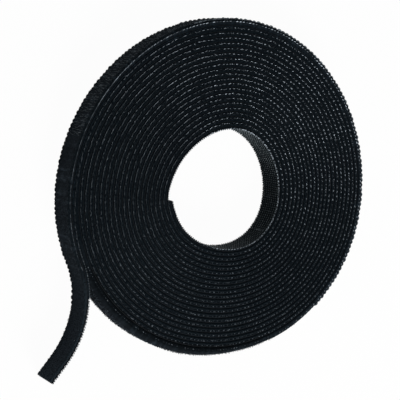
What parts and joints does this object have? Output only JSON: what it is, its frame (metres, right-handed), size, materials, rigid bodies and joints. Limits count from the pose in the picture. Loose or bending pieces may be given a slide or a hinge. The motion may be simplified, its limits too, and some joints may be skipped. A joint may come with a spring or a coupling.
{
  "type": "hook and loop tape roll",
  "caption": "Coreless flat roll of narrow black hook and loop tape, hook side in and loop side out, with a short free tail curling away and an inner end that lifts into the bore.",
  "frame": {"origin": "middle of the object's underside, tail included, on the surface that the roll lies on", "axes": "+Z along the roll's winding axis, up from the surface; +X away from the free tail, along the longest side; the tape winds outwards anticlockwise seen from +Z"},
  "size_m": [0.128, 0.1112, 0.01],
  "materials": {
    "hook_tape": "woven nylon with hooks, slightly shiny",
    "bond_film": "thin adhesive film",
    "loop_tape": "woven nylon with a soft matte pile"
  },
  "bodies": {
    "roll": {"roll_hook_tape": "hook_tape", "roll_bond_film": "bond_film", "roll_loop_tape": "loop_tape"},
    "inner_end": {"inner_end_hook_tape": "hook_tape", "inner_end_bond_film": "bond_film", "inner_end_loop_tape": "loop_tape"},
    "tail_base": {"tail_base_hook_tape": "hook_tape", "tail_base_bond_film": "bond_film", "tail_base_loop_tape": "loop_tape"},
    "tail_middle": {"tail_middle_hook_tape": "hook_tape", "tail_middle_bond_film": "bond_film", "tail_middle_loop_tape": "loop_tape"},
    "tail_tip": {"tail_tip_hook_tape": "hook_tape", "tail_tip_bond_film": "bond_film", "tail_tip_loop_tape": "loop_tape"}
  },
  "joints": [
    {"name": "tail_peel", "type": "hinge", "parent": "roll", "child": "tail_base", "pos_m": [-0.04904, -0.01428, 0.005], "axis": [0, 0, -1], "range_deg": [-2, 90]},
    {"name": "tail_bend", "type": "hinge", "parent": "tail_base", "child": "tail_middle", "pos_m": [-0.04884, -0.02778, 0.005], "axis": [0, 0, -1], "range_deg": [-12, 45]},
    {"name": "tail_curl", "type": "hinge", "parent": "tail_middle", "child": "tail_tip", "pos_m": [-0.05434, -0.04011, 0.005], "axis": [0, 0, -1], "range_deg": [-12, 45]},
    {"name": "inner_end_lift", "type": "hinge", "parent": "roll", "child": "inner_end", "pos_m": [-0.00693, -0.01464, 0.005], "axis": [0, 0, -1], "range_deg": [0, 40]}
  ]
}
